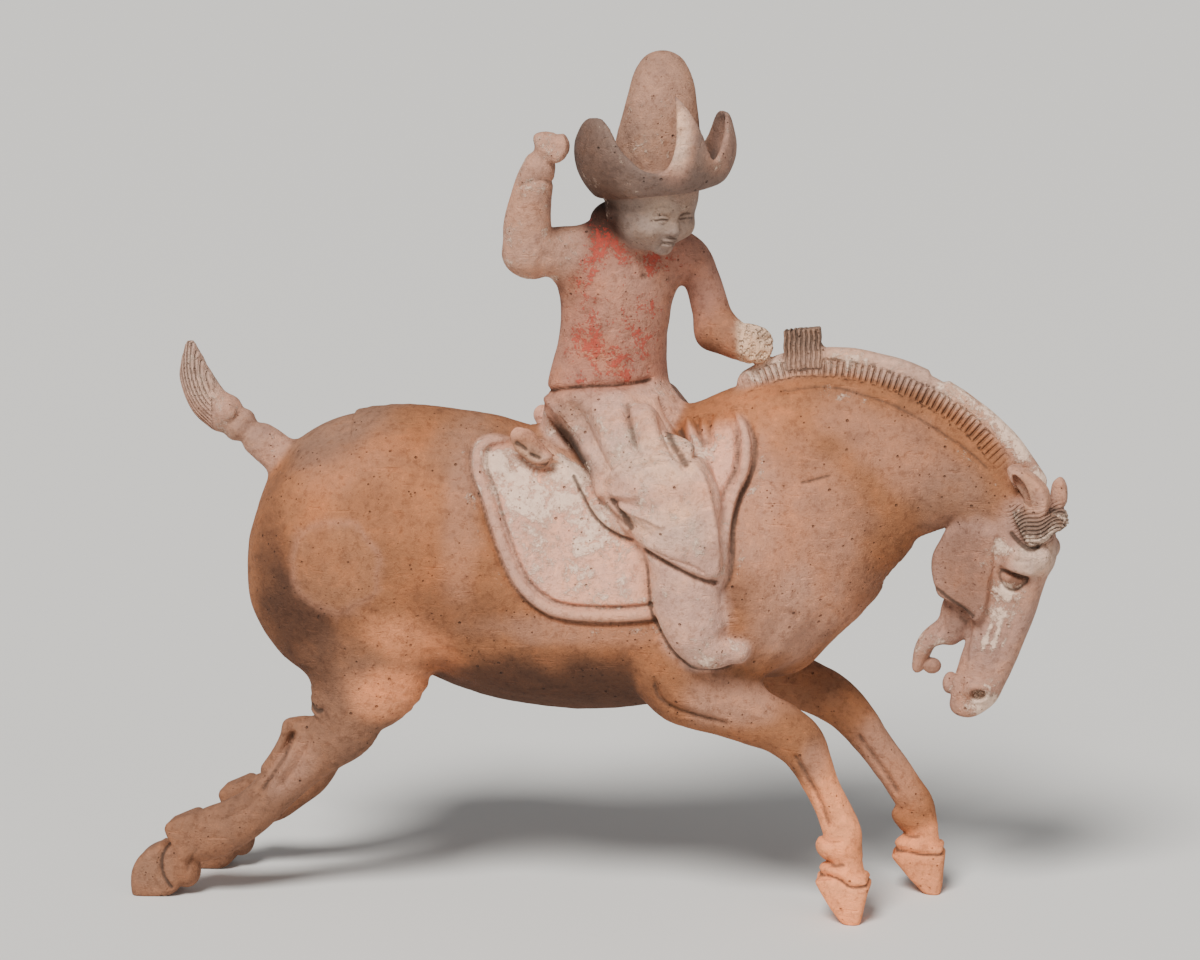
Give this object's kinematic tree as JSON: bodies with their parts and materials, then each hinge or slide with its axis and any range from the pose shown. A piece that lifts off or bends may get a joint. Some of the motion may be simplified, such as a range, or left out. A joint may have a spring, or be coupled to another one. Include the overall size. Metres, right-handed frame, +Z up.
{
  "type": "pottery horse and rider figure",
  "caption": "Fired clay tomb figure of a galloping horse and its rider, modelled as one hollow piece that stands on its hooves, with a raised arm and a tall turned-up hat.",
  "frame": {"origin": "on the floor, under the middle of the figure's box", "axes": "+X towards the horse's head, +Y towards the horse's left, +Z up"},
  "size_m": [0.3562, 0.1064, 0.3266],
  "materials": {
    "fired_clay": "unglazed orange and buff fired clay with worn pale slip, red pigment traces and soot, matte"
  },
  "bodies": {
    "root": {"horse_and_rider": "fired_clay"}
  },
  "joints": []
}
